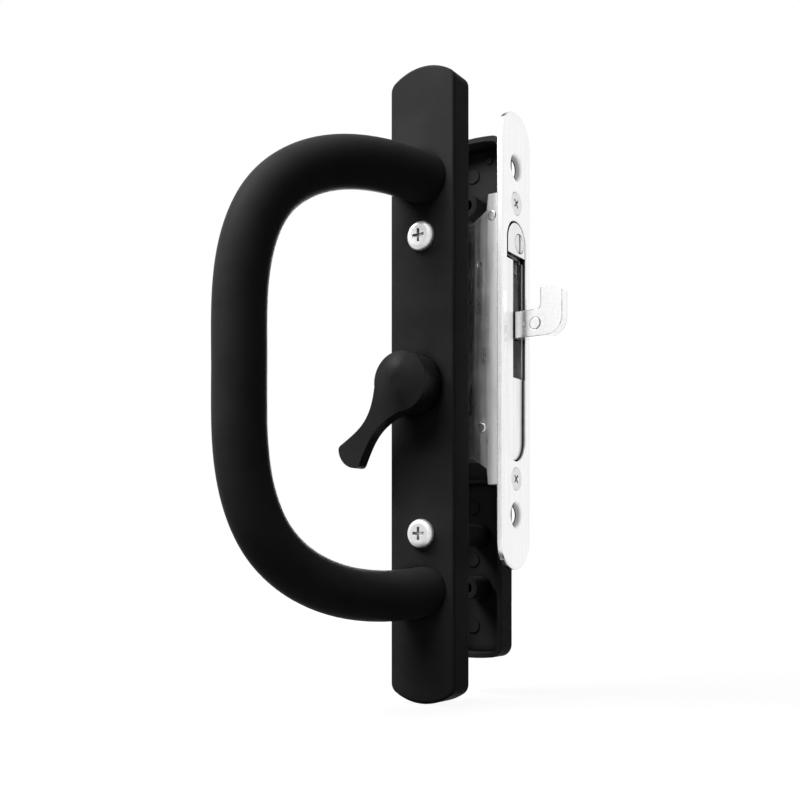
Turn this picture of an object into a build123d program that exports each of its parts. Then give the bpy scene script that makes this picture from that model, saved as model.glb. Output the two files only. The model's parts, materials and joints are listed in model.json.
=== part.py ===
from build123d import *
import os
from math import cos, hypot, radians, sin, tan

os.makedirs("parts", exist_ok=True)

# The origin is the middle of the faceplate's mounting hole pattern, on the back face that
# seats on the door's edge. +X points out of the faceplate, -Y to the room, +Z up.

# Door and fits
door_gap = 25.4
handle_drop = 16.0
running_gap = 0.05
thread_gap = 0.02
side_gap = 0.2

# Interior plate
plate_width = 25.0
plate_height = 215.0
plate_depth = 10.0
plate_crown = 4.6
plate_corner = 4.0
plate_wall = 2.0
plate_round = 1.0
screw_spacing = 100.0
screw_boss = 9.4
turn_shift = 2.0

# Exterior plate
outer_width = 24.0
outer_height = 189.0
outer_depth = 8.8
outer_crown = 1.0
outer_corner = 4.5
outer_wall = 1.8
post_diameter = 8.0
post_end = 4.0
foot_post_diameter = 8.2
foot_post_length = 11.0
pad_diameter = 5.2
pad_height = 0.4
pad_shift = 3.4
rib_height = 2.0
rib_thickness = 1.4

# Plate screws and pull screws
plate_screw_diameter = 4.2
plate_screw_head = 9.8
plate_screw_crown = 2.4
recess_span = 4.4
recess_width = 1.0
recess_depth = 1.5
screw_clearance = 0.2
pull_screw_diameter = 4.0
pull_screw_head = 7.4
pull_screw_cap = 2.6
pull_screw_grip = 9.0
foot_boss_diameter = 11.0
foot_boss_height = 2.0

# Pull handle
foot_spacing = 138.0
pull_reach = 66.2
pull_lean = 25.5
pull_diameter = 17.0
foot_sink = 4.0

# Faceplate
face_width = 20.6
face_thickness = 2.3
face_end = 18.75
face_edge = 0.5
hole_diameter = 5.8
hole_sink = 9.6
hole_step = 12.35
fixing_diameter = 4.0
fixing_head = 7.6
fixing_length = 6.4
fixing_recess = 3.6
fixing_step = 2.15
fixing_sink = 0.25
slot_width = 14.4
slot_play = 1.0
slot_edge = 0.35

# Lock case
case_wall = 1.2
case_width = 16.0
case_depth = 39.5
case_height = 80.0
lug_rise = 9.3
lug_depth = 4.6
chamfer_depth = 6.0
chamfer_rise = 3.9
lug_slope = 0.6
notch_margin = 3.0
post_margin = 1.34
rivet_shank = 2.2
rivet_head = 3.2
rivet_crown = 0.5
rivet_boss = 5.0
rivet_inset = 5.0
front_land = 0.95
land_inset = 1.3
cover_gap = 0.4
tab_depth = 1.0
tab_height = 3.5
tab_rise = 8.3
window_margin = 2.0
dimple_diameter = 1.8
dimple_depth = 0.5
dimple_drop = 14.1

# Hook bolt
hook_thickness = 4.2
hook_front_y = 0.6
hook_reach = 16.5
hook_throat = 8.5
arm_height = 9.2
barb_height = 7.6
barb_slope = 2.9
barb_chamfer = 1.8
chin_round = 6.0
throat_round = 1.6
barb_round = 0.8
heel_round = 3.0
heel_reach = 4.0
knee_reach = 5.6
boss_reach = 5.2
boss_sink = 1.5
pivot_diameter = 3.8
hook_swing = 80.0
hook_rivet_diameter = 4.0
hook_rivet_inset = 2.1
hook_rivet_rise = 4.4
fork_half = 3.5
fork_root = 4.8
fork_lip = 1.07

# Drive
turn_swing = 90.0
crank_share = 0.2
pivot_share = 0.124
drive_pin_diameter = 3.0
hub_diameter = 11.0
web_diameter = 13.0
web_edge = 1.0
slide_thickness = 2.4
slide_wall = 1.2
slide_half = 2.2
crank_play = 0.35
fork_play = 0.45
slide_heel = 4.0
slide_shoulder = 5.0
stud_diameter = 3.0
stud_head = 5.0
tenon_diameter = 2.0
stud_flange = 0.9

# Hook carriage
carriage_plate = 1.5
carriage_rear = 2.6
foot_margin = 2.0
cheek_drop = 8.8
web_height = 1.6
nut_length = 3.2
nut_drop = 3.6
pivot_drop = 9.6
arm_drop = 10.4

# Thumb-turn
turn_base_diameter = 20.0
turn_rim = 10.2
turn_dome = 2.5
lever_reach = 34.8
lever_angle = 41.5
lever_waist = 5.7
lever_flare = 11.0
lever_depth = 4.8
lever_round = 1.8
dome_round = 1.6
neck_diameter = 9.0
neck_reach = 4.4
washer_inset = 2.0
washer_thickness = 0.4
clip_width = 2.2
clip_thickness = 0.8
blade_width = 6.0
blade_thickness = 2.0
blade_sink = 5.0

# Adjuster
adjuster_drop = 6.0
adjuster_head = 6.4
adjuster_diameter = 4.0
adjuster_shaft = 14.0
adjust_travel = 0.8
block_front = 1.9
block_depth = 8.2
block_drop = 10.4
block_width = 12.6
block_height = 8.4
head_sink = 2.0
head_edge = 0.3

# Derived places across the door
rim_in = -door_gap / 2
rim_out = door_gap / 2
face_in = rim_in - plate_depth
back_out = rim_out + outer_depth
case_side = case_width / 2
case_inner = case_side - case_wall
carriage_side = case_inner - running_gap
cheek_inner = carriage_side - carriage_plate
slide_front_y = running_gap - cheek_inner
slide_back_y = slide_front_y + slide_thickness
hook_back_y = hook_front_y + hook_thickness
hook_middle = hook_front_y + hook_thickness / 2

# Derived places in the case, from the faceplate's seat back to the hub
pin_radius = drive_pin_diameter / 2
crank_radius = crank_share * case_depth
slide_travel = 2 * crank_radius * sin(radians(turn_swing / 2))
hook_lever = slide_travel / 2 / tan(radians(hook_swing / 2))
fork_reach = hook_lever / cos(radians(hook_swing / 2)) + fork_lip
pivot_x = -pivot_share * case_depth
drive_x = pivot_x - hook_lever
carriage_front = -case_wall - adjust_travel - side_gap
carriage_back = drive_x - carriage_rear
notch_inner = carriage_back - adjust_travel - 3 * side_gap
notch_x = notch_inner - case_wall
plate_x = notch_x - post_diameter / 2 - post_margin
turn_x = plate_x - turn_shift
case_back = -case_depth

# Derived heights, from the case's top and from the handle
half_case = case_height / 2
half_lug = half_case + lug_rise
fixing_height = half_lug - fixing_step
hole_height = fixing_height + hole_step
face_height = 2 * (hole_height + face_end)
slot_height = case_height + 2 * slot_play
land_width = slot_width - land_inset - side_gap
land_y = (land_inset - side_gap) / 2
adjuster_z = half_case - adjuster_drop
carriage_top = adjuster_z - nut_drop
pivot_z = carriage_top - pivot_drop
arm_top = pivot_z - arm_drop
arm_bottom = arm_top - arm_height
barb_top = arm_top + barb_height
block_z = half_case - case_wall - block_height / 2
plate_z = -handle_drop
notch_z = plate_z + screw_spacing / 2 - post_diameter / 2 - notch_margin
drive_z = pivot_z - slide_travel / 2
crank_x = turn_x - crank_radius * cos(radians(turn_swing / 2))
crank_z = plate_z - crank_radius * sin(radians(turn_swing / 2))

screw_spots = ((0, screw_spacing / 2), (0, -screw_spacing / 2))
foot_spots = ((0, foot_spacing / 2), (0, -foot_spacing / 2))
hole_spots = ((0, hole_height), (0, -hole_height))
fixing_spots = ((0, fixing_height), (0, -fixing_height))


def front_plane(y, x=0.0, z=0.0):
    return Plane(origin=(x, y, z), x_dir=(1, 0, 0), z_dir=(0, -1, 0))


def side_plane(x, z=0.0, y=0.0):
    return Plane(origin=(x, y, z), x_dir=(0, 1, 0), z_dir=(1, 0, 0))


def arched_face(width, height, crown, corner):
    half_width = width / 2
    half_height = height / 2
    shoulder = half_height - crown
    with BuildSketch() as outline:
        with BuildLine():
            Line((-half_width, -shoulder), (-half_width, shoulder))
            ThreePointArc((-half_width, shoulder), (0, half_height), (half_width, shoulder))
            Line((half_width, shoulder), (half_width, -shoulder))
            ThreePointArc((half_width, -shoulder), (0, -half_height), (-half_width, -shoulder))
        make_face()
        fillet(outline.vertices(), corner)
    return outline.sketch


def disc(plane, diameter, length, mode=Mode.ADD, spots=((0, 0),)):
    with BuildSketch(plane) as circles:
        with Locations(*spots):
            Circle(diameter / 2)
    extrude(circles.sketch, amount=length, mode=mode)


def ring(plane, diameter, bore, length):
    with BuildSketch(plane) as washer:
        Circle(diameter / 2)
        Circle(bore / 2, mode=Mode.SUBTRACT)
    extrude(washer.sketch, amount=length)


def cross_recess(plane, span, width, depth, turn=0.0):
    with BuildSketch(plane) as cross:
        Rectangle(span, width, rotation=turn)
        Rectangle(width, span, rotation=turn)
    extrude(cross.sketch, amount=-depth, mode=Mode.SUBTRACT)


def save(builder, name):
    builder.part.label = name
    export_step(builder.part, "parts/" + name + ".step")


# Interior plate: a pressed tray, open towards the door
turn_bore = neck_diameter + 2 * running_gap
inner_corner = plate_corner - plate_wall / 2
tray_depth = plate_depth - plate_wall
with BuildPart() as interior_plate:
    rim_plane = front_plane(rim_in, plate_x, plate_z)
    with BuildSketch(rim_plane):
        add(arched_face(plate_width, plate_height, plate_crown, plate_corner))
    extrude(amount=plate_depth)
    fillet(interior_plate.faces().sort_by(Axis.Y)[0].edges(), plate_round)
    with BuildSketch(rim_plane):
        inner_width = plate_width - 2 * plate_wall
        inner_height = plate_height - 2 * plate_wall
        add(arched_face(inner_width, inner_height, plate_crown, inner_corner))
    extrude(amount=tray_depth, mode=Mode.SUBTRACT)
    floor_plane = front_plane(face_in + plate_wall, plate_x, plate_z)
    disc(floor_plane, screw_boss, -tray_depth, spots=screw_spots)
    disc(floor_plane, foot_boss_diameter, -foot_boss_height, spots=foot_spots)
    disc(floor_plane, turn_bore + 2 * plate_wall, -case_wall, spots=((-turn_shift, 0),))
    disc(rim_plane, plate_screw_diameter + 2 * screw_clearance, plate_depth, Mode.SUBTRACT, screw_spots)
    disc(rim_plane, pull_screw_diameter + 2 * screw_clearance, plate_depth, Mode.SUBTRACT, foot_spots)
    disc(rim_plane, turn_bore, plate_depth, Mode.SUBTRACT, ((-turn_shift, 0),))
save(interior_plate, "interior_plate")

# Pull handle: one round bar swept along a leaning D. Each pair in bar_shares is a share of
# the reach and of the half height, from the foot to the middle.
bar_shares = ((0.3625, 1.0174), (0.6647, 0.9275), (0.8459, 0.7826), (0.9517, 0.5797))
lean_x = -sin(radians(pull_lean))
lean_y = -cos(radians(pull_lean))
half_feet = foot_spacing / 2


def pull_point(reach, height):
    return (plate_x + lean_x * reach, face_in + lean_y * reach, plate_z + height)


upper_points = [pull_point(pull_reach * reach, half_feet * height) for reach, height in bar_shares]
lower_points = [pull_point(pull_reach * reach, -half_feet * height) for reach, height in bar_shares]
with BuildPart() as pull_handle:
    with BuildLine() as pull_path:
        Spline(
            pull_point(-foot_sink, half_feet), *upper_points, pull_point(pull_reach, 0),
            *reversed(lower_points), pull_point(-foot_sink, -half_feet),
        )
    with BuildSketch(Plane(origin=pull_path.line @ 0, z_dir=pull_path.line % 0)):
        Circle(pull_diameter / 2)
    sweep()
    with BuildSketch(front_plane(face_in + pull_diameter, plate_x, plate_z)):
        Rectangle(4 * pull_diameter, plate_height)
    extrude(amount=pull_diameter, mode=Mode.SUBTRACT)
    bore = pull_screw_diameter + 2 * thread_gap
    disc(front_plane(face_in, plate_x, plate_z), bore, pull_screw_grip + side_gap, Mode.SUBTRACT, foot_spots)
save(pull_handle, "pull_handle")


def pull_screw(height, name):
    seat_y = face_in + plate_wall + foot_boss_height
    cap_y = seat_y + pull_screw_cap
    with BuildPart() as screw:
        disc(front_plane(cap_y, plate_x, plate_z + height), pull_screw_head, pull_screw_cap)
        fillet(screw.faces().sort_by(Axis.Y)[-1].edges(), pull_screw_cap / 3)
        shank = plate_wall + foot_boss_height + pull_screw_grip
        disc(front_plane(seat_y, plate_x, plate_z + height), pull_screw_diameter, shank)
        cap_plane = front_plane(cap_y, plate_x, plate_z + height)
        disc(cap_plane, pull_screw_head / 3, pull_screw_cap / 2, Mode.SUBTRACT)
    save(screw, name)


pull_screw(half_feet, "pull_screw_upper")
pull_screw(-half_feet, "pull_screw_lower")


# Plate screws: truss heads on the interior plate, threaded into the exterior posts
def plate_screw(height, name):
    seat = front_plane(face_in, plate_x, plate_z + height)
    with BuildPart() as screw:
        disc(seat, plate_screw_head, plate_screw_crown)
        fillet(screw.faces().sort_by(Axis.Y)[0].edges(), 0.7 * plate_screw_crown)
        crown = front_plane(face_in - plate_screw_crown, plate_x, plate_z + height)
        cross_recess(crown, recess_span, recess_width, recess_depth)
        disc(seat, plate_screw_diameter, face_in - back_out + 2 * outer_wall)
    save(screw, name)


plate_screw(screw_spacing / 2, "plate_screw_upper")
plate_screw(-screw_spacing / 2, "plate_screw_lower")

# Exterior plate: an open tray with two long screw posts, two foot posts and cast pads
tray_width = outer_width - 2 * outer_wall
tray_height = outer_height - 2 * outer_wall
pad_spots = [
    (-pad_shift, side * share * outer_height / 2)
    for share in (0.419, 0.623, 0.881) for side in (1, -1)
]
with BuildPart() as exterior_plate:
    with BuildSketch(front_plane(back_out, plate_x, plate_z)):
        add(arched_face(outer_width, outer_height, outer_crown, outer_corner))
    extrude(amount=outer_depth)
    fillet(exterior_plate.faces().sort_by(Axis.Y)[-1].edges(), plate_round)
    outer_floor = front_plane(back_out - outer_wall, plate_x, plate_z)
    with BuildSketch(outer_floor):
        add(arched_face(tray_width, tray_height, outer_crown, outer_corner - outer_wall))
    extrude(amount=outer_depth, mode=Mode.SUBTRACT)
    disc(outer_floor, post_diameter, back_out - outer_wall - post_end, spots=screw_spots)
    disc(outer_floor, foot_post_diameter, foot_post_length, spots=foot_spots)
    disc(outer_floor, foot_post_diameter / 2, foot_post_length, Mode.SUBTRACT, foot_spots)
    disc(outer_floor, pad_diameter, pad_height, spots=pad_spots)
    disc(outer_floor, pad_diameter / 2, pad_height, spots=((pad_shift, 0.93 * outer_height / 2),))
    with BuildSketch(outer_floor):
        with Locations((0, 0.3 * screw_spacing), (0, -0.3 * screw_spacing)):
            Rectangle(tray_width + side_gap, rib_thickness)
    extrude(amount=rib_height)
    bore = plate_screw_diameter + 2 * thread_gap
    post_floor = front_plane(back_out - 2 * outer_wall + side_gap, plate_x, plate_z)
    disc(post_floor, bore, 2 * outer_height, Mode.SUBTRACT, screw_spots)
save(exterior_plate, "exterior_plate")

# Faceplate: full round ends, countersunk holes, a long slot in front of the case
sink_depth = (hole_sink - hole_diameter) / 2
fixing_depth = (fixing_head - fixing_diameter) / 2
with BuildPart() as faceplate:
    with BuildSketch(side_plane(0)):
        SlotOverall(face_height, face_width, rotation=90)
        SlotOverall(slot_height, slot_width, rotation=90, mode=Mode.SUBTRACT)
        with Locations(*hole_spots):
            Circle(hole_diameter / 2, mode=Mode.SUBTRACT)
        with Locations(*fixing_spots):
            Circle(fixing_diameter / 2 + 2 * running_gap, mode=Mode.SUBTRACT)
    extrude(amount=face_thickness)
    outer_rim = faceplate.faces().sort_by(Axis.X)[-1].outer_wire().edges()
    chamfer(outer_rim, face_edge)
    with BuildSketch(side_plane(face_thickness)):
        with Locations(*hole_spots):
            Circle(hole_sink / 2)
    extrude(amount=-sink_depth, taper=45, mode=Mode.SUBTRACT)
    with BuildSketch(side_plane(face_thickness)):
        with Locations(*fixing_spots):
            Circle(fixing_head / 2 + fixing_sink + 2 * running_gap)
    extrude(amount=-fixing_depth - fixing_sink, taper=45, mode=Mode.SUBTRACT)
    with BuildSketch(side_plane(face_thickness)):
        SlotOverall(slot_height + 2 * slot_edge, slot_width + 2 * slot_edge, rotation=90)
    extrude(amount=-slot_edge, taper=45, mode=Mode.SUBTRACT)
save(faceplate, "faceplate")


def faceplate_screw(height, name):
    head_plane = side_plane(face_thickness - fixing_sink, height)
    with BuildPart() as screw:
        with BuildSketch(head_plane):
            Circle(fixing_head / 2)
        extrude(amount=-fixing_depth, taper=45)
        neck_x = face_thickness - fixing_sink - fixing_depth / 2
        disc(side_plane(neck_x, height), fixing_diameter, face_thickness - fixing_length - neck_x)
        cross_recess(head_plane, fixing_recess, 0.8 * recess_width, fixing_depth / 2, 45.0)
    save(screw, name)


faceplate_screw(fixing_height, "faceplate_screw_upper")
faceplate_screw(-fixing_height, "faceplate_screw_lower")


# Lock case: lugs for the faceplate screws and a notch for the upper plate screw's post
def case_outline():
    shelf = -lug_depth - chamfer_depth
    step = -lug_depth - lug_slope
    shoulder = half_case + chamfer_rise
    with BuildSketch() as outline:
        with BuildLine():
            Polyline(
                (0, -half_lug), (0, half_lug), (-lug_depth, half_lug), (step, shoulder), (shelf, half_case),
                (notch_x, half_case), (notch_x, notch_z), (case_back, notch_z), (case_back, -half_case),
                (shelf, -half_case), (step, -shoulder), (-lug_depth, -half_lug), close=True,
            )
        make_face()
    return outline.sketch


def case_cavity():
    top = half_case - case_wall
    back = case_back + case_wall
    ledge = notch_z - case_wall
    with BuildSketch() as cavity:
        with BuildLine():
            Polyline(
                (-case_wall, -top), (-case_wall, top), (notch_inner, top), (notch_inner, ledge),
                (back, ledge), (back, -top), close=True,
            )
        make_face()
    return cavity.sketch


rivet_spots = (
    (-0.7 * lug_depth, half_case + chamfer_rise / 2),
    (case_back + 4 * case_wall, notch_z - rivet_inset),
    (case_back + 4 * case_wall, 5 * case_wall - half_case),
    (-lug_depth - 2.0 * case_wall, 8.5 * case_wall - half_case),
)
dimple_spot = (-pivot_share * case_depth - boss_sink * 2, half_case - dimple_drop)
hub_bore = hub_diameter + 2 * running_gap
window_top = pivot_z + boss_reach + window_margin
window_bottom = pivot_z - 2 * hook_reach
window_y = hook_middle + 2.5 * side_gap
window_width = hook_thickness + 13 * side_gap
block_bottom = half_case - block_drop
groove_height = block_bottom - side_gap - window_top

with BuildPart() as case_base:
    with BuildSketch(front_plane(case_side)):
        add(case_outline())
    extrude(amount=case_width - case_wall)
    with BuildSketch(front_plane(case_inner)):
        add(case_cavity())
    extrude(amount=case_width, mode=Mode.SUBTRACT)
    disc(front_plane(case_side, turn_x, plate_z), hub_bore, case_width, Mode.SUBTRACT)
    disc(front_plane(case_inner), rivet_boss, 2 * case_inner, spots=rivet_spots[1:])
    disc(front_plane(case_side), rivet_shank, case_width, Mode.SUBTRACT, rivet_spots)
    with BuildSketch(side_plane(0)):
        with Locations((land_y, 0)):
            SlotOverall(slot_height - 4 * side_gap, land_width, rotation=90)
        with Locations((0, window_top)):
            Rectangle(slot_width, slot_height, align=(Align.CENTER, Align.MIN), mode=Mode.SUBTRACT)
    extrude(amount=front_land)
    with BuildSketch(side_plane(front_land)):
        with Locations((window_y, (window_top + window_bottom) / 2)):
            Rectangle(window_width, window_top - window_bottom)
        with Locations((0, window_top)):
            Rectangle(2 * case_inner - side_gap, groove_height, align=(Align.CENTER, Align.MIN))
        with Locations((0, block_z)):
            Rectangle(block_width, block_height)
    extrude(amount=-front_land - case_wall, mode=Mode.SUBTRACT)
    bore = fixing_diameter + 2 * thread_gap
    disc(side_plane(0), bore, -lug_depth, Mode.SUBTRACT, fixing_spots)
save(case_base, "case_base")

with BuildPart() as case_cover:
    with BuildSketch(front_plane(-case_inner)):
        add(case_outline())
    extrude(amount=case_wall)
    disc(front_plane(0, turn_x, plate_z), hub_bore, case_width, Mode.SUBTRACT)
    disc(front_plane(0), rivet_shank, case_width, Mode.SUBTRACT, rivet_spots)
    dimple_plane = front_plane(dimple_depth - case_side, *dimple_spot)
    disc(dimple_plane, dimple_diameter, case_width, Mode.SUBTRACT)
    with BuildSketch(front_plane(0)):
        Rectangle(2 * cover_gap, 2 * case_height)
        with Locations((0, tab_rise - half_case)):
            Rectangle(2 * tab_depth, tab_height)
    extrude(amount=case_width, mode=Mode.SUBTRACT)
save(case_cover, "case_cover")


def case_rivet(spot, name):
    with BuildPart() as rivet:
        disc(front_plane(case_side, spot[0], spot[1]), rivet_shank, case_width)
        disc(front_plane(-case_side, spot[0], spot[1]), rivet_head, rivet_crown)
        fillet(rivet.faces().sort_by(Axis.Y)[0].edges(), rivet_crown * 0.7)
        disc(front_plane(case_side + rivet_crown, spot[0], spot[1]), rivet_head, rivet_crown)
        fillet(rivet.faces().sort_by(Axis.Y)[-1].edges(), rivet_crown * 0.7)
    save(rivet, name)


for number, spot in enumerate(rivet_spots):
    case_rivet(spot, "case_rivet_" + str(number + 1))

# Adjuster block: fills the top of the slot and holds the adjusting screw
block_back = block_front - block_depth
screw_seat = block_front - head_sink


def adjuster_plane(x):
    return side_plane(x, adjuster_z, hook_middle)


with BuildPart() as adjuster_block:
    with BuildSketch(side_plane(block_front)):
        with Locations((land_y, 0)):
            SlotOverall(slot_height - 4 * side_gap, land_width, rotation=90)
        with Locations((0, block_bottom - slot_height / 2)):
            Rectangle(slot_width, slot_height, mode=Mode.SUBTRACT)
    extrude(amount=-block_front)
    with BuildSketch(side_plane(0)):
        with Locations((0, block_z)):
            Rectangle(block_width - side_gap, block_height - side_gap)
    extrude(amount=block_back)
    disc(adjuster_plane(block_front), adjuster_head + 2 * side_gap, -head_sink, Mode.SUBTRACT)
    bore = adjuster_diameter + 2 * running_gap
    disc(adjuster_plane(block_front), bore, -2 * block_depth, Mode.SUBTRACT)
save(adjuster_block, "adjuster_block")

with BuildPart() as adjusting_screw:
    disc(adjuster_plane(screw_seat), adjuster_head, head_sink + side_gap)
    chamfer(adjusting_screw.faces().sort_by(Axis.X)[-1].edges(), head_edge)
    with BuildSketch(adjuster_plane(screw_seat + head_sink + side_gap)):
        Rectangle(recess_width + side_gap, adjuster_head + recess_width)
    extrude(amount=-head_sink / 2, mode=Mode.SUBTRACT)
    disc(adjuster_plane(screw_seat), adjuster_diameter, -adjuster_shaft)
save(adjusting_screw, "adjusting_screw")

with BuildPart() as adjuster_clip:
    ring(adjuster_plane(block_back - running_gap), adjuster_head, adjuster_diameter, -clip_thickness)
save(adjuster_clip, "adjuster_clip")

# Hook carriage: two cheeks, a top web and the nut lug of the adjusting screw
guide_x = drive_x
guide_high_z = drive_z - slide_half - stud_head / 2 - 1.5 * side_gap
guide_low_z = guide_high_z - 2 * stud_diameter
guide_spots = ((guide_x, guide_low_z), (guide_x, guide_high_z))
nut_front = block_back - running_gap - clip_thickness - adjust_travel - 3 * side_gap
cheek_low = pivot_z - cheek_drop
cheek_high = cheek_low + 2 * carriage_plate
carriage_foot = guide_low_z - foot_margin

with BuildPart() as hook_carriage:
    with BuildSketch(front_plane(carriage_side)):
        with BuildLine():
            Polyline(
                (carriage_front, carriage_top), (carriage_back, carriage_top), (carriage_back, cheek_low),
                (carriage_front, cheek_high), close=True,
            )
        make_face()
    extrude(amount=carriage_plate)
    with BuildSketch(front_plane(-cheek_inner)):
        with BuildLine():
            Polyline(
                (carriage_front, carriage_top), (carriage_back, carriage_top),
                (carriage_back, carriage_foot), (guide_x + carriage_rear, carriage_foot),
                (carriage_front, cheek_low), close=True,
            )
        make_face()
    extrude(amount=carriage_plate)
    fillet(hook_carriage.edges().filter_by(Axis.Y).sort_by(Axis.Z)[:2], case_wall)
    with BuildSketch(front_plane(carriage_side, nut_front, carriage_top)):
        Rectangle(nut_length, web_height, align=(Align.MAX, Align.MIN))
    extrude(amount=2 * carriage_side)
    with BuildSketch(adjuster_plane(nut_front)):
        Rectangle(2 * (carriage_side - hook_middle), 2 * nut_drop)
    extrude(amount=-nut_length)
    bore = adjuster_diameter + 2 * running_gap
    disc(adjuster_plane(nut_front), bore, -nut_length, Mode.SUBTRACT)
    disc(front_plane(carriage_side, pivot_x, pivot_z), pivot_diameter, 2 * carriage_side, Mode.SUBTRACT)
    disc(front_plane(0), tenon_diameter, carriage_side, Mode.SUBTRACT, guide_spots)
save(hook_carriage, "hook_carriage")

with BuildPart() as hook_pivot_pin:
    disc(front_plane(carriage_side, pivot_x, pivot_z), pivot_diameter, 2 * carriage_side)
save(hook_pivot_pin, "hook_pivot_pin")

# Drive slide: a flat bar that the crank pin lifts and that turns the hook by its own pin
crank_inner = crank_x + adjust_travel + pin_radius + side_gap
crank_outer = turn_x - crank_radius - adjust_travel - pin_radius - side_gap
crank_slot = pin_radius + crank_play
slot_low = guide_low_z - slide_travel - 1.5 * side_gap
slot_high = guide_high_z + 1.5 * side_gap
with BuildPart() as drive_slide:
    with BuildSketch(front_plane(slide_back_y)):
        with BuildLine():
            Polyline(
                (crank_outer - slide_wall, crank_z - crank_slot - slide_wall),
                (crank_inner + slide_wall, crank_z - crank_slot - slide_wall),
                (guide_x + slide_half, slot_low - slide_heel),
                (guide_x + slide_half, drive_z + slide_half),
                (guide_x - slide_half, drive_z + slide_half),
                (guide_x - slide_half, slot_low + slide_shoulder),
                (crank_inner + slide_wall, crank_z + crank_slot + 5 * slide_wall),
                (crank_outer - slide_wall, crank_z + crank_slot + slide_wall), close=True,
            )
        make_face()
        with Locations(((crank_inner + crank_outer) / 2, crank_z)):
            SlotOverall(crank_inner - crank_outer, 2 * crank_slot, mode=Mode.SUBTRACT)
        with Locations((guide_x, (slot_low + slot_high) / 2)):
            guide_slot = stud_diameter + 2 * running_gap
            SlotCenterToCenter(slot_high - slot_low, guide_slot, rotation=90, mode=Mode.SUBTRACT)
        with Locations((drive_x, drive_z)):
            Circle(pin_radius, mode=Mode.SUBTRACT)
    extrude(amount=slide_thickness)
save(drive_slide, "drive_slide")

with BuildPart() as drive_pin:
    pin_end = hook_back_y + side_gap
    disc(front_plane(pin_end, drive_x, drive_z), drive_pin_diameter, pin_end - slide_front_y)
    collar_y = hook_front_y - side_gap
    disc(front_plane(collar_y, drive_x, drive_z), slide_half * 2, collar_y - slide_back_y)
save(drive_pin, "drive_pin")


def guide_stud(height, name):
    flange_y = slide_back_y + running_gap
    with BuildPart() as stud:
        disc(front_plane(flange_y + stud_flange, guide_x, height), stud_head, stud_flange)
        disc(front_plane(flange_y, guide_x, height), stud_diameter, flange_y + cheek_inner)
        disc(front_plane(-cheek_inner, guide_x, height), tenon_diameter, carriage_plate)
    save(stud, name)


guide_stud(guide_low_z, "guide_stud_lower")
guide_stud(guide_high_z, "guide_stud_upper")

# Hook bolt: a flat hook that turns on the pivot pin, forked where the drive pin works
fork_angle = 180.0 + hook_swing / 2
throat_x = face_thickness + hook_throat
tip_x = face_thickness + hook_reach
heel_x = pivot_x + heel_reach
knee_x = pivot_x + knee_reach
boss_low = pivot_z - boss_sink
hook_rivet_x = throat_x - hook_rivet_inset
hook_rivet_z = arm_bottom + hook_rivet_rise


def nearest_corner(corners, x, z):
    return corners.sort_by(lambda corner: hypot(corner.X - x, corner.Y - z))[0]


with BuildPart() as hook_bolt:
    with BuildSketch(front_plane(hook_back_y)) as hook_face:
        with BuildLine():
            Polyline(
                (throat_x, arm_top), (throat_x, barb_top), (tip_x - barb_slope, barb_top + 2 * side_gap),
                (tip_x, barb_top - barb_chamfer), (tip_x, arm_bottom + chin_round),
            )
            ThreePointArc(
                (tip_x, arm_bottom + chin_round),
                (tip_x - 0.27 * chin_round, arm_bottom + 0.33 * chin_round),
                (tip_x - chin_round, arm_bottom),
            )
            Polyline(
                (tip_x - chin_round, arm_bottom), (heel_x, arm_bottom), (pivot_x - boss_reach, boss_low),
            )
            ThreePointArc(
                (pivot_x - boss_reach, boss_low), (pivot_x, pivot_z + boss_reach + side_gap),
                (pivot_x + boss_reach, boss_low),
            )
            Polyline((pivot_x + boss_reach, boss_low), (knee_x, arm_top), (throat_x, arm_top))
        make_face()
        corners = hook_face.vertices()
        fillet(nearest_corner(corners, throat_x, arm_top), throat_round)
        fillet(nearest_corner(corners, throat_x, barb_top), barb_round)
        fillet(nearest_corner(corners, heel_x, arm_bottom), heel_round)
        with Locations(Location((pivot_x, pivot_z, 0), (0, 0, fork_angle))):
            with Locations((fork_reach / 2, 0)):
                Rectangle(fork_reach, 2 * fork_half)
            with Locations((fork_reach, 0)):
                fork_slot = drive_pin_diameter + 2 * fork_play
                SlotOverall(2 * (fork_reach - fork_root), fork_slot, mode=Mode.SUBTRACT)
        with Locations((pivot_x, pivot_z)):
            Circle(pivot_diameter / 2 + running_gap, mode=Mode.SUBTRACT)
        with Locations((hook_rivet_x, hook_rivet_z)):
            Circle(hook_rivet_diameter / 2, mode=Mode.SUBTRACT)
    extrude(amount=hook_thickness)
save(hook_bolt, "hook_bolt")

with BuildPart() as hook_rivet:
    rivet_plane = front_plane(hook_back_y + side_gap, hook_rivet_x, hook_rivet_z)
    disc(rivet_plane, hook_rivet_diameter, hook_thickness + 2 * side_gap)
save(hook_rivet, "hook_rivet")

# Lock hub: two webs on journals in the case cheeks, joined by the crank pin
web_inner = cheek_inner + running_gap
web_length = carriage_side - web_inner
journal_end = case_side + 2 * side_gap
journal_length = journal_end - carriage_side


def hub_web(plane):
    with BuildSketch(plane) as web:
        Circle(web_diameter / 2)
        with Locations((crank_x - turn_x, crank_z - plate_z)):
            Circle(pin_radius + web_edge)
        make_hull()
    extrude(web.sketch, amount=web_length)


with BuildPart() as lock_hub:
    hub_web(front_plane(-web_inner, turn_x, plate_z))
    disc(front_plane(-carriage_side, turn_x, plate_z), hub_diameter, journal_length)
    hub_web(front_plane(carriage_side, turn_x, plate_z))
    disc(front_plane(journal_end, turn_x, plate_z), hub_diameter, journal_length)
    disc(front_plane(web_inner, crank_x, crank_z), drive_pin_diameter, 2 * web_inner)
    with BuildSketch(front_plane(-web_inner, turn_x, plate_z)):
        Rectangle(blade_thickness + side_gap, blade_width + side_gap, rotation=-lever_angle)
    extrude(amount=journal_end, mode=Mode.SUBTRACT)
save(lock_hub, "lock_hub")

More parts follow.
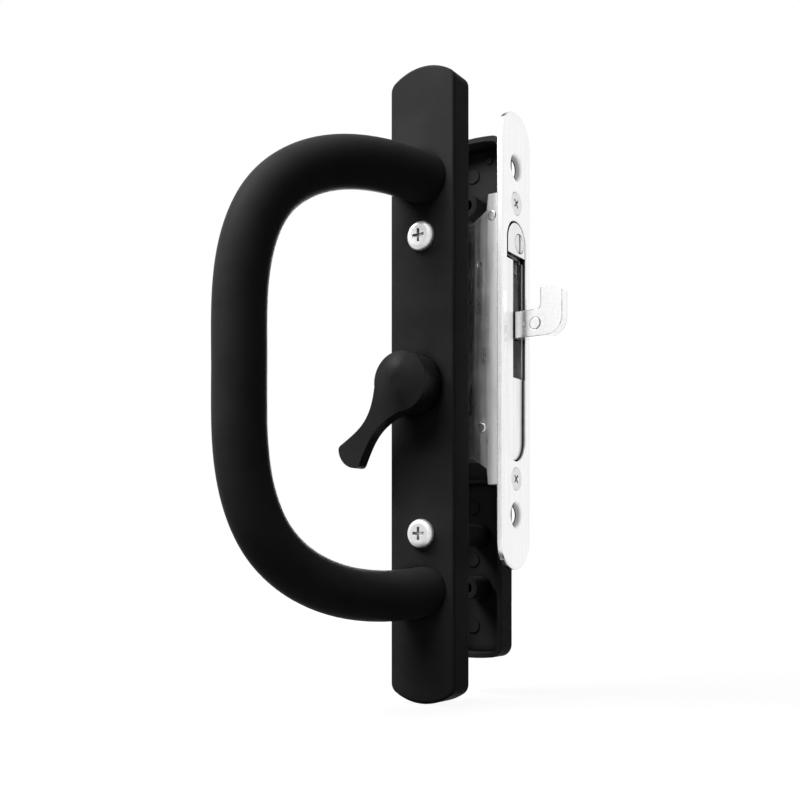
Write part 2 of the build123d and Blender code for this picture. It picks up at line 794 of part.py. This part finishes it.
# Thumb-turn: a domed hub whose front runs out into a waisted lever
turn_base = face_in - running_gap - washer_thickness
rim_y = face_in - turn_rim
lever_bottom = rim_y + lever_depth
neck_end = face_in + plate_wall + neck_reach
clip_front = face_in + plate_wall + case_wall + running_gap
lever_x = -sin(radians(lever_angle))
lever_z = -cos(radians(lever_angle))
base_radius = turn_base_diameter / 2


def along_lever(distance, side):
    return (lever_x * distance + lever_z * side, lever_z * distance - lever_x * side)


def lever_flank(side):
    waist = side * lever_waist / 2
    flare = side * lever_flare / 2
    return [
        along_lever(0.22 * lever_reach, side * 0.66 * base_radius),
        along_lever(0.36 * lever_reach, 1.5 * waist),
        along_lever(0.56 * lever_reach, waist),
        along_lever(0.76 * lever_reach, 1.35 * waist),
        along_lever(0.92 * lever_reach, flare),
    ]


with BuildPart() as thumb_turn:
    with BuildSketch(front_plane(lever_bottom, turn_x, plate_z)) as lever_face:
        with BuildLine():
            upper_flank = Spline(*lever_flank(1))
            lower_flank = Spline(*lever_flank(-1))
            Line(upper_flank @ 0, lower_flank @ 0)
            ThreePointArc(upper_flank @ 1, along_lever(lever_reach, 0), lower_flank @ 1)
        make_face()
        tips = lever_face.vertices().sort_by(lambda v: v.X * lever_x + v.Y * lever_z)[-2:]
        fillet(tips, lever_round)
    extrude(amount=lever_depth + turn_dome)
    disc(front_plane(turn_base, turn_x, plate_z), turn_base_diameter, turn_base - rim_y + turn_dome)
    with BuildSketch(Plane(origin=(turn_x, 0, plate_z), x_dir=(1, 0, 0), z_dir=(0, 0, 1))):
        with BuildLine():
            crown = Spline(
                (0, rim_y - turn_dome), (0.45 * base_radius, rim_y - 0.86 * turn_dome),
                (0.85 * base_radius, rim_y - 0.4 * turn_dome), (1.4 * base_radius, rim_y),
                (0.75 * lever_reach, rim_y + 0.05 * lever_depth),
                (1.1 * lever_reach, rim_y + 0.2 * lever_depth),
            )
            Polyline(crown @ 1, (1.1 * lever_reach, turn_base), (0, turn_base), crown @ 0)
        make_face()
    revolve(axis=Axis((turn_x, 0, plate_z), (0, 1, 0)), mode=Mode.INTERSECT)
    fillet(thumb_turn.faces().sort_by(Axis.Y)[0].edges(), dome_round)
    disc(front_plane(neck_end, turn_x, plate_z), neck_diameter, neck_end - turn_base)
    with BuildSketch(front_plane(neck_end, turn_x, plate_z)):
        Rectangle(blade_thickness, blade_width, rotation=-lever_angle)
    extrude(amount=blade_sink, mode=Mode.SUBTRACT)
save(thumb_turn, "thumb_turn")

with BuildPart() as turn_washer:
    washer_plane = front_plane(face_in - running_gap, turn_x, plate_z)
    ring(washer_plane, turn_base_diameter - washer_inset, neck_diameter, washer_thickness)
save(turn_washer, "turn_washer")

with BuildPart() as turn_clip:
    clip_plane = front_plane(clip_front + clip_thickness, turn_x, plate_z)
    ring(clip_plane, neck_diameter + 2 * clip_width, neck_diameter, clip_thickness)
save(turn_clip, "turn_clip")

with BuildPart() as tailpiece:
    with BuildSketch(front_plane(-web_inner, turn_x, plate_z)):
        Rectangle(blade_thickness, blade_width, rotation=-lever_angle)
    extrude(amount=blade_sink - web_inner - neck_end)
save(tailpiece, "tailpiece")
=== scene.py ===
import bpy
import json
from math import radians

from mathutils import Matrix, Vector


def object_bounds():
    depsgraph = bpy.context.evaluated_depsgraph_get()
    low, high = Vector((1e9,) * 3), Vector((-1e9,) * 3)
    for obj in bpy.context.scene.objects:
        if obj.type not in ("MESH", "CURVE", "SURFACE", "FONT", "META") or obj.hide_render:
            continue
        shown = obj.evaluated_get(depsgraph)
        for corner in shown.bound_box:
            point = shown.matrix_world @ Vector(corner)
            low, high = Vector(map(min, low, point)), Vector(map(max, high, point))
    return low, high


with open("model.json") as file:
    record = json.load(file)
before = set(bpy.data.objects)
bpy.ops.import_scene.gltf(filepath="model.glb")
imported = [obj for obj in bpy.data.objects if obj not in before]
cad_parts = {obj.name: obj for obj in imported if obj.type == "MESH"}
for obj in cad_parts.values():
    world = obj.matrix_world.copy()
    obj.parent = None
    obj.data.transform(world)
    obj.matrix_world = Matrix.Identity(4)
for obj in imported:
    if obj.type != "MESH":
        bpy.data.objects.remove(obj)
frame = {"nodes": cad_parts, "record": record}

MM = 0.001
LOCK_SET = frame["nodes"]
CAD_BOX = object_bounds()


# Viewpoint: level with the lower part of the set, from the room side and the door's edge
VIEW_TURN = radians(31.79)
VIEW_PLACE = (170.09 * MM, -338.42 * MM, -75.52 * MM)
VIEW_LENS_MM = 49.405
VIEW_FILM_MM = 36.0
VIEW_SHIFT = (-0.01602, 0.20222)
VIEW_NEAREST = 0.01
VIEW_FARTHEST = 50.0


def set_viewpoint():
    bpy.context.scene.view_settings.view_transform = "Standard"
    lens = bpy.data.cameras.new("viewpoint")
    lens.lens = VIEW_LENS_MM
    lens.sensor_width = VIEW_FILM_MM
    lens.shift_x, lens.shift_y = VIEW_SHIFT
    lens.clip_start = VIEW_NEAREST
    lens.clip_end = VIEW_FARTHEST
    viewpoint = bpy.data.objects.new("viewpoint", lens)
    viewpoint.location = VIEW_PLACE
    viewpoint.rotation_euler = (radians(90.0), 0.0, VIEW_TURN)
    bpy.context.scene.collection.objects.link(viewpoint)
    bpy.context.scene.camera = viewpoint


# Node helpers
FLOAT = "NodeSocketFloat"
VECTOR = "NodeSocketVector"
MIX_AMOUNT, MIX_LOW, MIX_HIGH = 0, 6, 7     # a colour Mix node's own sockets
MIX_RESULT = 2


def new_node(tree, kind, **settings):
    node = tree.nodes.new(kind)
    for name, value in settings.items():
        setattr(node, name, value)
    return node


def feed(tree, socket, source):
    """Writes a number or colour on a socket, or links another node's output to it."""
    if isinstance(source, (int, float, tuple)):
        socket.default_value = source
    else:
        tree.links.new(source, socket)


def value_math(tree, operation, first, second=0.0):
    node = new_node(tree, "ShaderNodeMath", operation=operation)
    feed(tree, node.inputs[0], first)
    feed(tree, node.inputs[1], second)
    return node.outputs[0]


def colour_mix(tree, amount, low, high):
    node = new_node(tree, "ShaderNodeMix", data_type="RGBA")
    feed(tree, node.inputs[MIX_AMOUNT], amount)
    feed(tree, node.inputs[MIX_LOW], low)
    feed(tree, node.inputs[MIX_HIGH], high)
    return node.outputs[MIX_RESULT]


def level_range(tree, value, low, high, to_low=0.0, to_high=1.0):
    """Spreads what lies between low and high smoothly over to_low and to_high."""
    node = new_node(tree, "ShaderNodeMapRange", interpolation_type="SMOOTHSTEP")
    feed(tree, node.inputs["Value"], value)
    feed(tree, node.inputs["From Min"], low)
    feed(tree, node.inputs["From Max"], high)
    feed(tree, node.inputs["To Min"], to_low)
    feed(tree, node.inputs["To Max"], to_high)
    return node.outputs["Result"]


def fade_out(tree, value, full_to, gone_from):
    """1 up to full_to, 0 from gone_from on."""
    return level_range(tree, value, full_to, gone_from, to_low=1.0, to_high=0.0)


def noise_field(tree, place, size_mm, detail, roughness):
    node = new_node(tree, "ShaderNodeTexNoise")
    per_metre = 1.0 / MM
    if isinstance(size_mm, (int, float)):
        scale = per_metre / size_mm
    else:
        scale = value_math(tree, "DIVIDE", per_metre, size_mm)
    feed(tree, node.inputs["Vector"], place)
    feed(tree, node.inputs["Scale"], scale)
    feed(tree, node.inputs["Detail"], detail)
    feed(tree, node.inputs["Roughness"], roughness)
    return node.outputs["Fac"]


def in_metres(tree, length_mm):
    return value_math(tree, "MULTIPLY", length_mm, MM)


def surface_place(tree):
    return new_node(tree, "ShaderNodeTexCoord").outputs["Object"]


def finish_group(name, inputs, outputs):
    group = bpy.data.node_groups.new(name, "ShaderNodeTree")
    for socket_name, kind, value in inputs:
        socket = group.interface.new_socket(name=socket_name, in_out="INPUT", socket_type=kind)
        socket.default_value = value
    for socket_name, kind in outputs:
        group.interface.new_socket(name=socket_name, in_out="OUTPUT", socket_type=kind)
    entry = group.nodes.new("NodeGroupInput")
    leave = group.nodes.new("NodeGroupOutput")
    return group, entry.outputs, leave.inputs


# Shared effects: lengths in millimetres, masks from 0 to 1
ROUNDING_SAMPLES = 6
NEARBY_SAMPLES = 8


def coat_speckle():
    """Fine orange peel of a baked coat, under slow clouds of tone and sheen."""
    group, given, out = finish_group(
        "coat speckle",
        (("Speckle mm", FLOAT, 0.35), ("Cloud mm", FLOAT, 18.0)),
        (("Height", FLOAT), ("Tone", FLOAT), ("Sheen", FLOAT)),
    )
    place = surface_place(group)
    fine = noise_field(group, place, given["Speckle mm"], detail=2.0, roughness=0.6)
    clouds = noise_field(group, place, given["Cloud mm"], detail=4.0, roughness=0.55)
    both = value_math(group, "MULTIPLY", fine, clouds)
    feed(group, out["Height"], level_range(group, fine, low=0.3, high=0.7))
    feed(group, out["Tone"], level_range(group, clouds, low=0.35, high=0.65))
    feed(group, out["Sheen"], level_range(group, both, low=0.15, high=0.35))
    return group


def worn_and_shaded_edges():
    """Softened edges, and a patchy mask along them: wear on the coats, painted edge shade on the
    bright metals.
    """
    group, given, out = finish_group(
        "worn and shaded edges",
        (("Round mm", FLOAT, 0.35), ("Patchiness mm", FLOAT, 5.0)),
        (("Wear and edge shade", FLOAT), ("Normal", VECTOR)),
    )
    rounding = new_node(group, "ShaderNodeBevel", samples=ROUNDING_SAMPLES)
    feed(group, rounding.inputs["Radius"], in_metres(group, given["Round mm"]))
    alike = new_node(group, "ShaderNodeVectorMath", operation="DOT_PRODUCT")
    feed(group, alike.inputs[0], rounding.outputs["Normal"])
    feed(group, alike.inputs[1], new_node(group, "ShaderNodeNewGeometry").outputs["Normal"])
    edge = fade_out(group, alike.outputs["Value"], full_to=0.80, gone_from=0.995)
    patches = noise_field(
        group, surface_place(group), given["Patchiness mm"], detail=3.0, roughness=0.6,
    )
    patches = level_range(group, patches, low=0.42, high=0.62, to_low=0.15)
    feed(group, out["Wear and edge shade"], value_math(group, "MULTIPLY", edge, patches))
    feed(group, out["Normal"], rounding.outputs["Normal"])
    return group


def rolled_grain():
    """Lines and wider bands that rolling or turning leaves, drawn out along one way."""
    group, given, out = finish_group(
        "rolled grain",
        (("Stretch", VECTOR, (1.0, 1.0, 1.0)), ("Line mm", FLOAT, 0.12)),
        (("Height", FLOAT), ("Streak", FLOAT)),
    )
    drawn_out = new_node(group, "ShaderNodeVectorMath", operation="MULTIPLY")
    feed(group, drawn_out.inputs[0], surface_place(group))
    feed(group, drawn_out.inputs[1], given["Stretch"])
    along = drawn_out.outputs[0]
    band_mm = 1.1
    lines = noise_field(group, along, given["Line mm"], detail=2.0, roughness=0.55)
    bands = noise_field(group, along, band_mm, detail=3.0, roughness=0.6)
    feed(group, out["Height"], level_range(group, lines, low=0.3, high=0.7))
    feed(group, out["Streak"], level_range(group, bands, low=0.3, high=0.7))
    return group


def handling_marks():
    """Smudges from the hand, and a few short slanted scuffs."""
    group, given, out = finish_group(
        "handling marks",
        (("Mark mm", FLOAT, 9.0),),
        (("Smudge", FLOAT), ("Scuff", FLOAT)),
    )
    place = surface_place(group)
    smudge = noise_field(group, place, given["Mark mm"], detail=5.0, roughness=0.62)
    scuff_mm = 0.7
    slanted = new_node(group, "ShaderNodeMapping", vector_type="TEXTURE")
    slanted.inputs["Rotation"].default_value = (0.4, 0.9, 0.2)
    slanted.inputs["Scale"].default_value = (1.0, 9.0, 1.0)
    feed(group, slanted.inputs["Vector"], place)
    scuff = noise_field(group, slanted.outputs[0], scuff_mm, detail=2.0, roughness=0.5)
    feed(group, out["Smudge"], level_range(group, smudge, low=0.45, high=0.7))
    feed(group, out["Scuff"], level_range(group, scuff, low=0.66, high=0.74))
    return group


def seam_shade():
    """Painted shade: a mask of how closed in each point is, for narrow seams and for what lies
    well inside the set.
    """
    group, given, out = finish_group(
        "seam shade",
        (("Reach mm", FLOAT, 1.2), ("Inner mm", FLOAT, 9.0), ("Depth", FLOAT, 1.0)),
        (("Shade", FLOAT),),
    )

    def closed_in(reach_mm, full_to, gone_from):
        nearby = new_node(group, "ShaderNodeAmbientOcclusion", samples=NEARBY_SAMPLES)
        feed(group, nearby.inputs["Distance"], in_metres(group, reach_mm))
        return fade_out(group, nearby.outputs["AO"], full_to, gone_from)

    seam = closed_in(given["Reach mm"], full_to=0.35, gone_from=0.85)
    enclosed = closed_in(given["Inner mm"], full_to=0.12, gone_from=0.42)
    darker = value_math(group, "MAXIMUM", seam, enclosed)
    feed(group, out["Shade"], value_math(group, "MULTIPLY", darker, given["Depth"]))
    return group


def painted_shade_inside():
    """Painted shade on what lies behind the faceplate's front. X runs out through the faceplate, Y
    across it.
    """
    group, given, out = finish_group(
        "painted shade inside",
        (("Front mm", FLOAT, 1.0), ("Fade mm", FLOAT, 0.5), ("Half width mm", FLOAT, 30.0),
         ("Walls only", FLOAT, 0.0)),
        (("Dark", FLOAT),),
    )
    coordinates = new_node(group, "ShaderNodeTexCoord").outputs
    place = new_node(group, "ShaderNodeSeparateXYZ")
    feed(group, place.inputs[0], coordinates["Object"])
    turned = new_node(group, "ShaderNodeSeparateXYZ")
    feed(group, turned.inputs[0], coordinates["Normal"])

    front = in_metres(group, given["Front mm"])
    clear = value_math(group, "ADD", front, in_metres(group, given["Fade mm"]))
    behind = fade_out(group, place.outputs["X"], front, clear)

    side_fade = 0.3 * MM
    across = value_math(group, "ABSOLUTE", place.outputs["Y"])
    side = in_metres(group, given["Half width mm"])
    beside = value_math(group, "ADD", side, side_fade)
    within = fade_out(group, across, side, beside)

    outward = value_math(group, "ABSOLUTE", turned.outputs["X"])
    spared = value_math(group, "MULTIPLY", given["Walls only"], outward)
    wall = value_math(group, "SUBTRACT", 1.0, spared)
    dark = value_math(group, "MULTIPLY", behind, within)
    feed(group, out["Dark"], value_math(group, "MULTIPLY", dark, wall))
    return group


EFFECTS = {}


def place_effect(tree, effect, **values):
    """Puts one shared effect in a finish, built at its first use, with the finish's own values."""
    if effect not in EFFECTS:
        EFFECTS[effect] = effect()
    node = new_node(tree, "ShaderNodeGroup", node_tree=EFFECTS[effect])
    for name, value in values.items():
        node.inputs[name.replace("_", " ")].default_value = value
    return node.outputs


def new_finish(name):
    finish = bpy.data.materials.new(name)
    finish.use_nodes = True
    tree = finish.node_tree
    return finish, tree, tree.nodes["Principled BSDF"]


def raise_surface(tree, surface, height, depth_mm, normal):
    bump = new_node(tree, "ShaderNodeBump")
    feed(tree, bump.inputs["Distance"], depth_mm * MM)
    feed(tree, bump.inputs["Strength"], 1.0)
    feed(tree, bump.inputs["Height"], height)
    feed(tree, bump.inputs["Normal"], normal)
    feed(tree, surface.inputs["Normal"], bump.outputs["Normal"])


# Finishes
OPAQUE = (1.0,)
PAINTED_SHADE_BLACK = (0.001, 0.001, 0.001) + OPAQUE           # painted shade in the seams of the black pieces
PAINTED_SHADE_GREY = (0.015, 0.015, 0.015) + OPAQUE          # painted shade in the seams of the metal ones and inside
PAINTED_EDGE_SHADE = (0.05, 0.05, 0.052) + OPAQUE        # painted shade and reflection: the thin dark line that a cut metal edge shows


def black_coat(name, colour, rubbed_colour, roughness, speckle_mm, speckle_depth_mm, gloss):
    finish, tree, surface = new_finish(name)
    speckle = place_effect(tree, coat_speckle, Speckle_mm=speckle_mm)
    edges = place_effect(tree, worn_and_shaded_edges)
    seams = place_effect(tree, seam_shade, Reach_mm=5.0, Depth=0.9)
    marks = place_effect(tree, handling_marks)

    cloud_lift = 1.25
    wear_depth = 0.6
    lighter = tuple(channel * cloud_lift for channel in colour)
    coat = colour_mix(tree, speckle["Tone"], colour + OPAQUE, lighter + OPAQUE)
    wear = value_math(tree, "MULTIPLY", edges["Wear and edge shade"], wear_depth)
    rubbed = colour_mix(tree, wear, coat, rubbed_colour + OPAQUE)
    # Painted shade: the coat's colour goes black in its seams and close beside other pieces
    feed(tree, surface.inputs["Base Color"], colour_mix(tree, seams["Shade"], rubbed, PAINTED_SHADE_BLACK))

    smoother, rougher, smudged = 0.05, 0.06, 0.05
    rough = level_range(
        tree, speckle["Sheen"], 0.0, 1.0, roughness - smoother, roughness + rougher,
    )
    dulled = value_math(tree, "MULTIPLY", marks["Smudge"], smudged)
    feed(tree, surface.inputs["Roughness"], value_math(tree, "ADD", rough, dulled))
    surface.inputs["Specular IOR Level"].default_value = gloss
    raise_surface(tree, surface, speckle["Height"], speckle_depth_mm, edges["Normal"])
    return finish


def bright_metal(name, colour, dull_colour, roughness, stretch, grain_depth_mm, line_mm=0.12,
                 round_mm=0.3, edge_depth=0.6, seam_mm=1.3, seam_depth=0.95, inner_mm=9.0,
                 metallic=1.0, inside=None):
    finish, tree, surface = new_finish(name)
    grain = place_effect(tree, rolled_grain, Stretch=stretch, Line_mm=line_mm)
    edges = place_effect(tree, worn_and_shaded_edges, Round_mm=round_mm, Patchiness_mm=3.0)
    marks = place_effect(tree, handling_marks)
    seams = place_effect(
        tree, seam_shade, Reach_mm=seam_mm, Inner_mm=inner_mm, Depth=seam_depth,
    )

    smudge_depth = 0.35
    bright, dull = colour + OPAQUE, dull_colour + OPAQUE
    rolled = colour_mix(tree, grain["Streak"], bright, dull)
    smudge = value_math(tree, "MULTIPLY", marks["Smudge"], smudge_depth)
    handled = colour_mix(tree, smudge, rolled, dull)
    # Painted edge shade: the metal goes dark along its softened edges
    edge = value_math(tree, "MULTIPLY", edges["Wear and edge shade"], edge_depth)
    metal = colour_mix(tree, edge, handled, PAINTED_EDGE_SHADE)
    # Painted shade: the metal goes dark behind the faceplate's front
    if inside:
        metal = colour_mix(tree, place_effect(tree, painted_shade_inside, **inside)["Dark"], metal, PAINTED_SHADE_GREY)
    # Painted shade: the metal's colour goes dark in its seams and deep inside the set
    feed(tree, surface.inputs["Base Color"], colour_mix(tree, seams["Shade"], metal, PAINTED_SHADE_GREY))
    surface.inputs["Metallic"].default_value = metallic

    smoother, rougher, scuffed, smudged = 0.04, 0.05, 0.10, 0.06
    rough = level_range(
        tree, grain["Streak"], 0.0, 1.0, roughness - smoother, roughness + rougher,
    )
    for mark, amount in (("Scuff", scuffed), ("Smudge", smudged)):
        dulled = value_math(tree, "MULTIPLY", marks[mark], amount)
        rough = value_math(tree, "ADD", rough, dulled)
    feed(tree, surface.inputs["Roughness"], rough)
    raise_surface(tree, surface, grain["Height"], grain_depth_mm, edges["Normal"])
    return finish


def moulded_nylon(name, colour, worn_colour, smooth, rough, pit_depth_mm):
    finish, tree, surface = new_finish(name)
    speckle = place_effect(tree, coat_speckle, Speckle_mm=0.5, Cloud_mm=4.0)
    edges = place_effect(tree, worn_and_shaded_edges, Round_mm=0.1)
    nylon = colour_mix(tree, speckle["Tone"], colour + OPAQUE, worn_colour + OPAQUE)
    feed(tree, surface.inputs["Base Color"], nylon)
    sheen = level_range(tree, speckle["Sheen"], 0.0, 1.0, smooth, rough)
    feed(tree, surface.inputs["Roughness"], sheen)
    raise_surface(tree, surface, speckle["Height"], pit_depth_mm, edges["Normal"])
    return finish


# Which way the grain is drawn out: up the case and the faceplate, through the hook's thickness,
# and out along X on screws and pins
UPRIGHT = (1.0, 1.0, 0.03)
ACROSS = (1.0, 0.05, 1.0)
TURNED = (0.05, 1.0, 1.0)

BLACK_COATS = {
    "plate_black": dict(
        colour=(0.037, 0.037, 0.0373), rubbed_colour=(0.05, 0.05, 0.05),
        roughness=0.48, speckle_mm=0.32, speckle_depth_mm=0.006, gloss=0.010,
    ),
    "pull_black": dict(
        colour=(0.032, 0.032, 0.0323), rubbed_colour=(0.036, 0.036, 0.036),
        roughness=0.46, speckle_mm=0.40, speckle_depth_mm=0.004, gloss=0.010,
    ),
    "turn_black": dict(
        colour=(0.026, 0.026, 0.0263), rubbed_colour=(0.035, 0.035, 0.035),
        roughness=0.32, speckle_mm=0.50, speckle_depth_mm=0.004, gloss=0.07,
    ),
}
# Per metal: seam_mm, seam_depth and inner_mm set its painted seam shade, edge_depth its painted
# edge shade, inside its painted shade behind the faceplate
BRIGHT_METALS = {
    "zinc_steel": dict(
        colour=(0.95, 0.95, 0.955), dull_colour=(0.89, 0.895, 0.905),
        roughness=0.31, stretch=UPRIGHT, grain_depth_mm=0.001,
    ),
    "bright_face": dict(
        colour=(0.94, 0.94, 0.94), dull_colour=(0.90, 0.90, 0.905),
        roughness=0.22, stretch=UPRIGHT, grain_depth_mm=0.001, line_mm=0.10,
        round_mm=0.35, edge_depth=0.35, seam_mm=3.0,
        inside=dict(Front_mm=0.9, Fade_mm=1.35, Half_width_mm=7.5, Walls_only=0.4),
    ),
    "hook_steel": dict(
        colour=(0.96, 0.96, 0.96), dull_colour=(0.93, 0.93, 0.935),
        roughness=0.20, stretch=ACROSS, grain_depth_mm=0.001, line_mm=0.14,
        round_mm=0.60, edge_depth=2.5, seam_mm=3.5, inner_mm=25.0,
        inside=dict(Front_mm=0.9),
    ),
    "bright_screw": dict(
        colour=(0.94, 0.94, 0.94), dull_colour=(0.82, 0.82, 0.83),
        roughness=0.50, stretch=TURNED, grain_depth_mm=0.0005, line_mm=0.10,
        round_mm=0.12, edge_depth=0.3, seam_mm=0.6, seam_depth=0.7, metallic=0.92,
    ),
    "pin_steel": dict(
        colour=(0.86, 0.86, 0.87), dull_colour=(0.70, 0.70, 0.72),
        roughness=0.26, stretch=TURNED, grain_depth_mm=0.002, round_mm=0.15,
    ),
}
NYLONS = {
    "washer_nylon": dict(
        colour=(0.02, 0.02, 0.02), worn_colour=(0.035, 0.035, 0.034),
        smooth=0.5, rough=0.62, pit_depth_mm=0.01,
    ),
}


def finish_set():
    finishes = {}
    for make, kinds in (
        (black_coat, BLACK_COATS), (bright_metal, BRIGHT_METALS), (moulded_nylon, NYLONS),
    ):
        for name, values in kinds.items():
            finishes[name] = make(name, **values)
    return finishes


def dress_lock_set(finishes):
    for part in frame["record"]["subparts"]:
        piece = LOCK_SET[part["node"]]
        finish = finishes[part["material_slot"]]
        if not piece.material_slots:
            piece.data.materials.append(finish)
        for slot in piece.material_slots:
            slot.material = finish


# Studio: white surroundings, a floor that keeps the shadow, three soft lamps
WHITE = (1.0, 1.0, 1.0, 1.0)
SEEN_WHITE = 1.0
SURROUNDINGS_LIGHT = 0.04           # all that the surroundings throw on the set
FLOOR_GREY = (0.10, 0.10, 0.10, 1.0)
FLOOR_REACH = 6.0
FLOOR_GAP = 0.3 * MM                # below the set's lowest point
FLOOR_NEAR, FLOOR_AWAY = 0.2, 0.9   # metres from its middle, between which it turns white
FLOOR_NEAR_WHITE = 0.93             # the lamps bring it up to white near the set

LAMP_AIM = Vector((-0.03, -0.02, -0.01))
LAMPS = (
    # name, place and side in metres, power in watts
    ("left_softbox", (-0.30, -0.30, 0.45), 0.34, 4.6),
    ("front_softbox", (-0.05, -0.42, 0.48), 0.25, 1.1),
    ("back_softbox", (-0.45, 0.80, 0.16), 0.40, 4.2),
)


def seen_rays(tree, unseen_level, seen_level):
    """One level for what the eye, gloss and glass see, and another for the light thrown."""
    rays = new_node(tree, "ShaderNodeLightPath").outputs
    seen = value_math(tree, "MAXIMUM", rays["Is Camera Ray"], rays["Is Glossy Ray"])
    seen = value_math(tree, "MAXIMUM", seen, rays["Is Transmission Ray"])
    return level_range(tree, seen, 0.0, 1.0, unseen_level, seen_level)


def white_surroundings():
    world = bpy.data.worlds.new("surroundings")
    bpy.context.scene.world = world
    world.use_nodes = True
    tree = world.node_tree
    backdrop = tree.nodes["Background"]
    backdrop.inputs["Color"].default_value = WHITE
    level = seen_rays(tree, unseen_level=SURROUNDINGS_LIGHT, seen_level=SEEN_WHITE)
    feed(tree, backdrop.inputs["Strength"], level)


def floor_finish():
    finish = bpy.data.materials.new("floor")
    finish.use_nodes = True
    tree = finish.node_tree
    tree.nodes.remove(tree.nodes["Principled BSDF"])
    away = new_node(tree, "ShaderNodeVectorMath", operation="LENGTH")
    feed(tree, away.inputs[0], surface_place(tree))
    whiteness = level_range(
        tree, away.outputs["Value"], FLOOR_NEAR, FLOOR_AWAY, FLOOR_NEAR_WHITE, SEEN_WHITE,
    )
    glow = new_node(tree, "ShaderNodeEmission")
    level = seen_rays(tree, unseen_level=0.0, seen_level=whiteness)
    feed(tree, glow.inputs["Strength"], level)
    matt = new_node(tree, "ShaderNodeBsdfDiffuse")
    matt.inputs["Color"].default_value = FLOOR_GREY
    both = new_node(tree, "ShaderNodeAddShader")
    feed(tree, both.inputs[0], glow.outputs[0])
    feed(tree, both.inputs[1], matt.outputs[0])
    feed(tree, tree.nodes["Material Output"].inputs["Surface"], both.outputs[0])
    return finish


def lay_floor():
    reach = FLOOR_REACH
    corners = [(-reach, -reach, 0), (reach, -reach, 0), (reach, reach, 0), (-reach, reach, 0)]
    mesh = bpy.data.meshes.new("floor")
    mesh.from_pydata(corners, [], [(0, 1, 2, 3)])
    mesh.materials.append(floor_finish())
    floor = bpy.data.objects.new("floor", mesh)
    lowest = CAD_BOX[0][2]
    floor.location = (0.0, 0.0, lowest - FLOOR_GAP)
    bpy.context.scene.collection.objects.link(floor)


def hang_lamp(name, place, side, power):
    lamp = bpy.data.lights.new(name, "AREA")
    lamp.shape = "RECTANGLE"
    lamp.size = side
    lamp.size_y = side
    lamp.energy = power
    holder = bpy.data.objects.new(name, lamp)
    holder.location = place
    direction = LAMP_AIM - holder.location
    holder.rotation_euler = direction.to_track_quat("-Z", "Y").to_euler()
    bpy.context.scene.collection.objects.link(holder)


set_viewpoint()
dress_lock_set(finish_set())
white_surroundings()
lay_floor()
for lamp_row in LAMPS:
    hang_lamp(*lamp_row)
